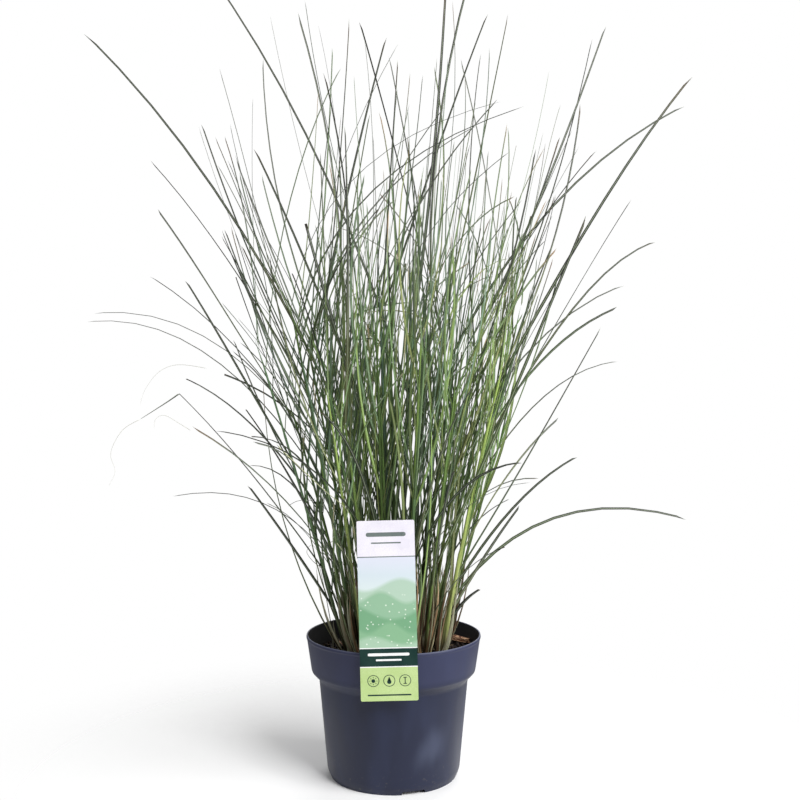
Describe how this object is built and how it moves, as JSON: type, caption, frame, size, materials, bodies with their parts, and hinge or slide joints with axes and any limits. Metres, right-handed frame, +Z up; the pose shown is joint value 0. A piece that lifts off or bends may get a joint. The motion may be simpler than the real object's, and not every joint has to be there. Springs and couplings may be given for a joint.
{
  "type": "potted ornamental grass",
  "caption": "Clump of fine arching grass stems and leaves growing in compost in a round tapered nursery pot, with a plant label hooked over the rim.",
  "frame": {"origin": "middle of the pot's underside, on the flat pad that the pot stands on", "axes": "+Z up through the pot and the plant, -Y towards the plant label and the viewer, +X to the viewer's right"},
  "size_m": [0.685, 0.5608, 0.9],
  "materials": {
    "pot_plastic": "moulded, satin",
    "compost": "crumbly",
    "label_plastic": "printed",
    "leaf": "living leaf, satin"
  },
  "bodies": {
    "root": {"pot": "pot_plastic", "compost": "compost", "label": "label_plastic", "leafy_stem_01": "leaf", "leafy_stem_02": "leaf", "leafy_stem_03": "leaf", "leafy_stem_04": "leaf", "leafy_stem_05": "leaf", "leafy_stem_06": "leaf", "leafy_stem_07": "leaf", "leafy_stem_08": "leaf", "leafy_stem_09": "leaf", "leafy_stem_10": "leaf", "leafy_stem_11": "leaf", "leafy_stem_12": "leaf", "leafy_stem_13": "leaf", "leafy_stem_14": "leaf", "leafy_stem_15": "leaf", "leafy_stem_16": "leaf", "leafy_stem_17": "leaf", "leafy_stem_18": "leaf", "leafy_stem_19": "leaf", "leafy_stem_20": "leaf", "leafy_stem_21": "leaf", "leafy_stem_22": "leaf", "leafy_stem_23": "leaf", "leafy_stem_24": "leaf", "leafy_stem_25": "leaf", "leafy_stem_26": "leaf", "leafy_stem_27": "leaf", "leafy_stem_28": "leaf", "leafy_stem_29": "leaf", "leafy_stem_30": "leaf", "leafy_stem_31": "leaf", "leafy_stem_32": "leaf", "leafy_stem_33": "leaf", "leafy_stem_34": "leaf", "leafy_stem_35": "leaf", "leafy_stem_36": "leaf", "leafy_stem_37": "leaf", "leafy_stem_38": "leaf", "leafy_stem_39": "leaf", "leafy_stem_40": "leaf", "leafy_stem_41": "leaf", "leafy_stem_42": "leaf", "leafy_stem_43": "leaf", "leafy_stem_44": "leaf"}
  },
  "joints": []
}
